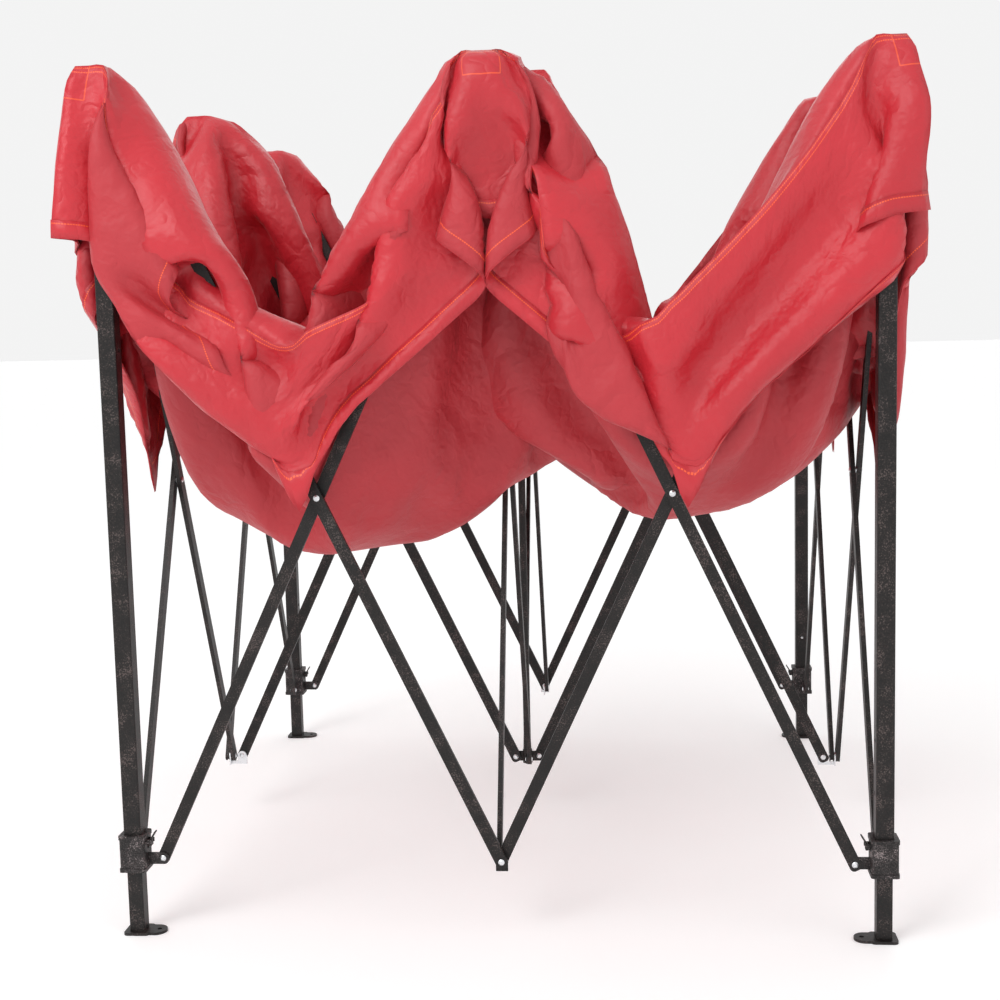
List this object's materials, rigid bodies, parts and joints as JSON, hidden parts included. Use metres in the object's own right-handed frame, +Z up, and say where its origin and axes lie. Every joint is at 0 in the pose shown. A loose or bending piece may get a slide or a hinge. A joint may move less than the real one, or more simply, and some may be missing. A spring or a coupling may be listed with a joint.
{
  "type": "pop up canopy",
  "caption": "Half-opened pop-up canopy: square telescopic legs joined by folding scissor trusses under a red fabric cover with a valance",
  "frame": {"origin": "floor level under the centre pole, at the middle of the four legs", "axes": "+X to the right along the front truss, +Y from the front truss to the rear truss, +Z up along the legs"},
  "size_m": [1.414, 1.414, 1.637],
  "materials": {
    "frame_coat": "dark brown-black textured powder coat",
    "frame_steel": "dark brown-black textured powder coat",
    "zinc_plate": "bright zinc plate",
    "moulding": "dark textured coat",
    "cover_cloth": "satin woven polyester, red",
    "lever_steel": "satin black",
    "button_steel": "bright zinc plate"
  },
  "bodies": {
    "foot_front_left": {"leg_inner_front_left": "frame_coat"},
    "mast_front_left": {"leg_outer_front_left": "frame_coat", "top_bracket_front_left": "moulding"},
    "collar_front_left": {"collar_front_left": "moulding"},
    "catch_front_left": {"catch_lever_front_left": "lever_steel"},
    "button_front_left": {"snap_button_front_left": "button_steel"},
    "mast_front_right": {"leg_outer_front_right": "frame_coat", "top_bracket_front_right": "moulding"},
    "foot_front_right": {"leg_inner_front_right": "frame_coat"},
    "collar_front_right": {"collar_front_right": "moulding"},
    "catch_front_right": {"catch_lever_front_right": "lever_steel"},
    "button_front_right": {"snap_button_front_right": "button_steel"},
    "mast_rear_right": {"leg_outer_rear_right": "frame_coat", "top_bracket_rear_right": "moulding"},
    "foot_rear_right": {"leg_inner_rear_right": "frame_coat"},
    "collar_rear_right": {"collar_rear_right": "moulding"},
    "catch_rear_right": {"catch_lever_rear_right": "lever_steel"},
    "button_rear_right": {"snap_button_rear_right": "button_steel"},
    "mast_rear_left": {"leg_outer_rear_left": "frame_coat", "top_bracket_rear_left": "moulding"},
    "foot_rear_left": {"leg_inner_rear_left": "frame_coat"},
    "collar_rear_left": {"collar_rear_left": "moulding"},
    "catch_rear_left": {"catch_lever_rear_left": "lever_steel"},
    "button_rear_left": {"snap_button_rear_left": "button_steel"},
    "bar_front_a": {"bar_front_a": "frame_coat"},
    "bar_front_b": {"bar_front_b": "frame_coat"},
    "bar_front_c": {"bar_front_c": "frame_coat"},
    "bar_front_d": {"bar_front_d": "frame_coat"},
    "arm_front_high": {"arm_front_high": "frame_coat"},
    "arm_front_low": {"arm_front_low": "frame_coat"},
    "hub_upper_front": {"hub_upper_front": "frame_steel"},
    "hub_lower_front": {"hub_lower_front": "zinc_plate"},
    "bar_right_a": {"bar_right_a": "frame_coat"},
    "bar_right_b": {"bar_right_b": "frame_coat"},
    "bar_right_c": {"bar_right_c": "frame_coat"},
    "bar_right_d": {"bar_right_d": "frame_coat"},
    "arm_right_high": {"arm_right_high": "frame_coat"},
    "arm_right_low": {"arm_right_low": "frame_coat"},
    "hub_upper_right": {"hub_upper_right": "frame_steel"},
    "hub_lower_right": {"hub_lower_right": "zinc_plate"},
    "bar_rear_a": {"bar_rear_a": "frame_coat"},
    "bar_rear_b": {"bar_rear_b": "frame_coat"},
    "bar_rear_c": {"bar_rear_c": "frame_coat"},
    "bar_rear_d": {"bar_rear_d": "frame_coat"},
    "arm_rear_high": {"arm_rear_high": "frame_coat"},
    "arm_rear_low": {"arm_rear_low": "frame_coat"},
    "hub_upper_rear": {"hub_upper_rear": "frame_steel"},
    "hub_lower_rear": {"hub_lower_rear": "zinc_plate"},
    "bar_left_a": {"bar_left_a": "frame_coat"},
    "bar_left_b": {"bar_left_b": "frame_coat"},
    "bar_left_c": {"bar_left_c": "frame_coat"},
    "bar_left_d": {"bar_left_d": "frame_coat"},
    "arm_left_high": {"arm_left_high": "frame_coat"},
    "arm_left_low": {"arm_left_low": "frame_coat"},
    "hub_upper_left": {"hub_upper_left": "frame_steel"},
    "hub_lower_left": {"hub_lower_left": "zinc_plate"},
    "centre_top": {"centre_hub_upper": "frame_steel", "canopy_cover": "cover_cloth"},
    "centre_low": {"centre_hub_lower": "frame_steel", "centre_pole": "frame_coat"}
  },
  "joints": [
    {"name": "leg_front_left_extend", "type": "slide", "parent": "foot_front_left", "child": "mast_front_left", "axis": [0, 0, 1], "range_m": [0, 0.55]},
    {"name": "frame_fold", "type": "hinge", "parent": "mast_front_left", "child": "bar_front_a", "pos_m": [-0.625, -0.676, 1.465], "axis": [0, -1, 0], "range_deg": [-14, 48], "deforming": ["canopy_cover"]},
    {"name": "bar_front_b_cross", "type": "hinge", "parent": "bar_front_a", "child": "bar_front_b", "pos_m": [-0.3125, -0.676, 0.8025], "axis": [0, 1, 0], "range_deg": [-28, 96]},
    {"name": "hub_upper_front_turn", "type": "hinge", "parent": "bar_front_b", "child": "hub_upper_front", "pos_m": [0, -0.676, 1.465], "axis": [0, -1, 0], "range_deg": [-14, 48]},
    {"name": "hub_lower_front_turn", "type": "hinge", "parent": "bar_front_a", "child": "hub_lower_front", "pos_m": [0, -0.676, 0.14], "axis": [0, 1, 0], "range_deg": [-14, 48]},
    {"name": "bar_front_c_turn", "type": "hinge", "parent": "hub_upper_front", "child": "bar_front_c", "pos_m": [0, -0.676, 1.465], "axis": [0, -1, 0], "range_deg": [-14, 48]},
    {"name": "bar_front_d_cross", "type": "hinge", "parent": "bar_front_c", "child": "bar_front_d", "pos_m": [0.3125, -0.676, 0.8025], "axis": [0, 1, 0], "range_deg": [-28, 96]},
    {"name": "mast_front_right_turn", "type": "hinge", "parent": "bar_front_d", "child": "mast_front_right", "pos_m": [0.625, -0.676, 1.465], "axis": [0, -1, 0], "range_deg": [-14, 48]},
    {"name": "collar_front_right_turn", "type": "hinge", "parent": "bar_front_c", "child": "collar_front_right", "pos_m": [0.625, -0.676, 0.14], "axis": [0, 1, 0], "range_deg": [-14, 48]},
    {"name": "collar_front_left_turn", "type": "hinge", "parent": "bar_front_b", "child": "collar_front_left", "pos_m": [-0.625, -0.676, 0.14], "axis": [0, -1, 0], "range_deg": [-14, 48]},
    {"name": "bar_right_a_turn", "type": "hinge", "parent": "mast_front_right", "child": "bar_right_a", "pos_m": [0.676, -0.625, 1.465], "axis": [1, 0, 0], "range_deg": [-14, 48]},
    {"name": "bar_right_b_cross", "type": "hinge", "parent": "bar_right_a", "child": "bar_right_b", "pos_m": [0.676, -0.3125, 0.8025], "axis": [-1, 0, 0], "range_deg": [-28, 96]},
    {"name": "hub_upper_right_turn", "type": "hinge", "parent": "bar_right_b", "child": "hub_upper_right", "pos_m": [0.676, 0, 1.465], "axis": [1, 0, 0], "range_deg": [-14, 48]},
    {"name": "hub_lower_right_turn", "type": "hinge", "parent": "bar_right_a", "child": "hub_lower_right", "pos_m": [0.676, 0, 0.14], "axis": [-1, 0, 0], "range_deg": [-14, 48]},
    {"name": "bar_right_c_turn", "type": "hinge", "parent": "hub_upper_right", "child": "bar_right_c", "pos_m": [0.676, 0, 1.465], "axis": [1, 0, 0], "range_deg": [-14, 48]},
    {"name": "bar_right_d_cross", "type": "hinge", "parent": "bar_right_c", "child": "bar_right_d", "pos_m": [0.676, 0.3125, 0.8025], "axis": [-1, 0, 0], "range_deg": [-28, 96]},
    {"name": "mast_rear_right_turn", "type": "hinge", "parent": "bar_right_d", "child": "mast_rear_right", "pos_m": [0.676, 0.625, 1.465], "axis": [1, 0, 0], "range_deg": [-14, 48]},
    {"name": "collar_rear_right_turn", "type": "hinge", "parent": "bar_right_c", "child": "collar_rear_right", "pos_m": [0.676, 0.625, 0.14], "axis": [-1, 0, 0], "range_deg": [-14, 48]},
    {"name": "bar_left_d_turn", "type": "hinge", "parent": "mast_front_left", "child": "bar_left_d", "pos_m": [-0.676, -0.625, 1.465], "axis": [1, 0, 0], "range_deg": [-14, 48]},
    {"name": "bar_left_c_cross", "type": "hinge", "parent": "bar_left_d", "child": "bar_left_c", "pos_m": [-0.676, -0.3125, 0.8025], "axis": [-1, 0, 0], "range_deg": [-28, 96]},
    {"name": "hub_upper_left_turn", "type": "hinge", "parent": "bar_left_c", "child": "hub_upper_left", "pos_m": [-0.676, 0, 1.465], "axis": [1, 0, 0], "range_deg": [-14, 48]},
    {"name": "hub_lower_left_turn", "type": "hinge", "parent": "bar_left_d", "child": "hub_lower_left", "pos_m": [-0.676, 0, 0.14], "axis": [-1, 0, 0], "range_deg": [-14, 48]},
    {"name": "bar_left_b_turn", "type": "hinge", "parent": "hub_upper_left", "child": "bar_left_b", "pos_m": [-0.676, 0, 1.465], "axis": [1, 0, 0], "range_deg": [-14, 48]},
    {"name": "bar_left_a_cross", "type": "hinge", "parent": "bar_left_b", "child": "bar_left_a", "pos_m": [-0.676, 0.3125, 0.8025], "axis": [-1, 0, 0], "range_deg": [-28, 96]},
    {"name": "mast_rear_left_turn", "type": "hinge", "parent": "bar_left_a", "child": "mast_rear_left", "pos_m": [-0.676, 0.625, 1.465], "axis": [1, 0, 0], "range_deg": [-14, 48]},
    {"name": "collar_rear_left_turn", "type": "hinge", "parent": "bar_left_b", "child": "collar_rear_left", "pos_m": [-0.676, 0.625, 0.14], "axis": [-1, 0, 0], "range_deg": [-14, 48]},
    {"name": "bar_rear_d_turn", "type": "hinge", "parent": "mast_rear_left", "child": "bar_rear_d", "pos_m": [-0.625, 0.676, 1.465], "axis": [0, -1, 0], "range_deg": [-14, 48]},
    {"name": "bar_rear_c_cross", "type": "hinge", "parent": "bar_rear_d", "child": "bar_rear_c", "pos_m": [-0.3125, 0.676, 0.8025], "axis": [0, 1, 0], "range_deg": [-28, 96]},
    {"name": "hub_upper_rear_turn", "type": "hinge", "parent": "bar_rear_c", "child": "hub_upper_rear", "pos_m": [0, 0.676, 1.465], "axis": [0, -1, 0], "range_deg": [-14, 48]},
    {"name": "hub_lower_rear_turn", "type": "hinge", "parent": "bar_rear_d", "child": "hub_lower_rear", "pos_m": [0, 0.676, 0.14], "axis": [0, 1, 0], "range_deg": [-14, 48]},
    {"name": "bar_rear_b_turn", "type": "hinge", "parent": "hub_upper_rear", "child": "bar_rear_b", "pos_m": [0, 0.676, 1.465], "axis": [0, -1, 0], "range_deg": [-14, 48]},
    {"name": "bar_rear_a_cross", "type": "hinge", "parent": "bar_rear_b", "child": "bar_rear_a", "pos_m": [0.3125, 0.676, 0.8025], "axis": [0, 1, 0], "range_deg": [-28, 96]},
    {"name": "arm_front_high_turn", "type": "hinge", "parent": "hub_upper_front", "child": "arm_front_high", "pos_m": [0, -0.6505, 1.465], "axis": [1, 0, 0], "range_deg": [-14, 48]},
    {"name": "arm_front_low_cross", "type": "hinge", "parent": "arm_front_high", "child": "arm_front_low", "pos_m": [0, -0.338, 0.8025], "axis": [-1, 0, 0], "range_deg": [-28, 96]},
    {"name": "arm_right_high_turn", "type": "hinge", "parent": "hub_upper_right", "child": "arm_right_high", "pos_m": [0.6505, 0, 1.465], "axis": [0, 1, 0], "range_deg": [-14, 48]},
    {"name": "arm_right_low_cross", "type": "hinge", "parent": "arm_right_high", "child": "arm_right_low", "pos_m": [0.338, 0, 0.8025], "axis": [0, -1, 0], "range_deg": [-28, 96]},
    {"name": "arm_rear_high_turn", "type": "hinge", "parent": "hub_upper_rear", "child": "arm_rear_high", "pos_m": [0, 0.6505, 1.465], "axis": [-1, 0, 0], "range_deg": [-14, 48]},
    {"name": "arm_rear_low_cross", "type": "hinge", "parent": "arm_rear_high", "child": "arm_rear_low", "pos_m": [0, 0.338, 0.8025], "axis": [1, 0, 0], "range_deg": [-28, 96]},
    {"name": "arm_left_high_turn", "type": "hinge", "parent": "hub_upper_left", "child": "arm_left_high", "pos_m": [-0.6505, 0, 1.465], "axis": [0, -1, 0], "range_deg": [-14, 48]},
    {"name": "arm_left_low_cross", "type": "hinge", "parent": "arm_left_high", "child": "arm_left_low", "pos_m": [-0.338, 0, 0.8025], "axis": [0, 1, 0], "range_deg": [-28, 96]},
    {"name": "centre_top_turn", "type": "hinge", "parent": "arm_front_low", "child": "centre_top", "pos_m": [0, -0.0255, 1.465], "axis": [1, 0, 0], "range_deg": [-14, 48]},
    {"name": "centre_low_turn", "type": "hinge", "parent": "arm_front_high", "child": "centre_low", "pos_m": [0, -0.0255, 0.14], "axis": [-1, 0, 0], "range_deg": [-14, 48]},
    {"name": "leg_front_right_extend", "type": "slide", "parent": "mast_front_right", "child": "foot_front_right", "axis": [0, 0, -1], "range_m": [0, 0.55]},
    {"name": "leg_rear_right_extend", "type": "slide", "parent": "mast_rear_right", "child": "foot_rear_right", "axis": [0, 0, -1], "range_m": [0, 0.55]},
    {"name": "leg_rear_left_extend", "type": "slide", "parent": "mast_rear_left", "child": "foot_rear_left", "axis": [0, 0, -1], "range_m": [0, 0.55]},
    {"name": "catch_front_left_press", "type": "hinge", "parent": "collar_front_left", "child": "catch_front_left", "pos_m": [-0.646, -0.676, 0.173], "axis": [0, -1, 0], "range_deg": [0, 22], "stiffness_Nm_per_rad": 0.25, "springref_deg": -20.05},
    {"name": "button_front_left_press", "type": "slide", "parent": "foot_front_left", "child": "button_front_left", "axis": [0, -1, 0], "range_m": [0, 0.004], "stiffness_N_per_m": 900, "springref_m": -0.004},
    {"name": "catch_front_right_press", "type": "hinge", "parent": "collar_front_right", "child": "catch_front_right", "pos_m": [0.646, -0.676, 0.173], "axis": [0, 1, 0], "range_deg": [0, 22], "stiffness_Nm_per_rad": 0.25, "springref_deg": -20.05},
    {"name": "button_front_right_press", "type": "slide", "parent": "foot_front_right", "child": "button_front_right", "axis": [1, 0, 0], "range_m": [0, 0.004], "stiffness_N_per_m": 900, "springref_m": -0.004},
    {"name": "catch_rear_right_press", "type": "hinge", "parent": "collar_rear_right", "child": "catch_rear_right", "pos_m": [0.646, 0.676, 0.173], "axis": [0, 1, 0], "range_deg": [0, 22], "stiffness_Nm_per_rad": 0.25, "springref_deg": -20.05},
    {"name": "button_rear_right_press", "type": "slide", "parent": "foot_rear_right", "child": "button_rear_right", "axis": [0, 1, 0], "range_m": [0, 0.004], "stiffness_N_per_m": 900, "springref_m": -0.004},
    {"name": "catch_rear_left_press", "type": "hinge", "parent": "collar_rear_left", "child": "catch_rear_left", "pos_m": [-0.646, 0.676, 0.173], "axis": [0, -1, 0], "range_deg": [0, 22], "stiffness_Nm_per_rad": 0.25, "springref_deg": -20.05},
    {"name": "button_rear_left_press", "type": "slide", "parent": "foot_rear_left", "child": "button_rear_left", "axis": [-1, 0, 0], "range_m": [0, 0.004], "stiffness_N_per_m": 900, "springref_m": -0.004}
  ],
  "couplings": [
    {"joint": "bar_front_b_cross", "follows": "frame_fold", "ratio": 2},
    {"joint": "hub_upper_front_turn", "follows": "frame_fold", "ratio": 1},
    {"joint": "hub_lower_front_turn", "follows": "frame_fold", "ratio": 1},
    {"joint": "bar_front_c_turn", "follows": "frame_fold", "ratio": 1},
    {"joint": "bar_front_d_cross", "follows": "frame_fold", "ratio": 2},
    {"joint": "mast_front_right_turn", "follows": "frame_fold", "ratio": 1},
    {"joint": "collar_front_right_turn", "follows": "frame_fold", "ratio": 1},
    {"joint": "collar_front_left_turn", "follows": "frame_fold", "ratio": 1},
    {"joint": "bar_right_a_turn", "follows": "frame_fold", "ratio": 1},
    {"joint": "bar_right_b_cross", "follows": "frame_fold", "ratio": 2},
    {"joint": "hub_upper_right_turn", "follows": "frame_fold", "ratio": 1},
    {"joint": "hub_lower_right_turn", "follows": "frame_fold", "ratio": 1},
    {"joint": "bar_right_c_turn", "follows": "frame_fold", "ratio": 1},
    {"joint": "bar_right_d_cross", "follows": "frame_fold", "ratio": 2},
    {"joint": "mast_rear_right_turn", "follows": "frame_fold", "ratio": 1},
    {"joint": "collar_rear_right_turn", "follows": "frame_fold", "ratio": 1},
    {"joint": "bar_left_d_turn", "follows": "frame_fold", "ratio": 1},
    {"joint": "bar_left_c_cross", "follows": "frame_fold", "ratio": 2},
    {"joint": "hub_upper_left_turn", "follows": "frame_fold", "ratio": 1},
    {"joint": "hub_lower_left_turn", "follows": "frame_fold", "ratio": 1},
    {"joint": "bar_left_b_turn", "follows": "frame_fold", "ratio": 1},
    {"joint": "bar_left_a_cross", "follows": "frame_fold", "ratio": 2},
    {"joint": "mast_rear_left_turn", "follows": "frame_fold", "ratio": 1},
    {"joint": "collar_rear_left_turn", "follows": "frame_fold", "ratio": 1},
    {"joint": "bar_rear_d_turn", "follows": "frame_fold", "ratio": 1},
    {"joint": "bar_rear_c_cross", "follows": "frame_fold", "ratio": 2},
    {"joint": "hub_upper_rear_turn", "follows": "frame_fold", "ratio": 1},
    {"joint": "hub_lower_rear_turn", "follows": "frame_fold", "ratio": 1},
    {"joint": "bar_rear_b_turn", "follows": "frame_fold", "ratio": 1},
    {"joint": "bar_rear_a_cross", "follows": "frame_fold", "ratio": 2},
    {"joint": "arm_front_high_turn", "follows": "frame_fold", "ratio": 1},
    {"joint": "arm_front_low_cross", "follows": "frame_fold", "ratio": 2},
    {"joint": "arm_right_high_turn", "follows": "frame_fold", "ratio": 1},
    {"joint": "arm_right_low_cross", "follows": "frame_fold", "ratio": 2},
    {"joint": "arm_rear_high_turn", "follows": "frame_fold", "ratio": 1},
    {"joint": "arm_rear_low_cross", "follows": "frame_fold", "ratio": 2},
    {"joint": "arm_left_high_turn", "follows": "frame_fold", "ratio": 1},
    {"joint": "arm_left_low_cross", "follows": "frame_fold", "ratio": 2},
    {"joint": "centre_top_turn", "follows": "frame_fold", "ratio": 1},
    {"joint": "centre_low_turn", "follows": "frame_fold", "ratio": 1}
  ]
}
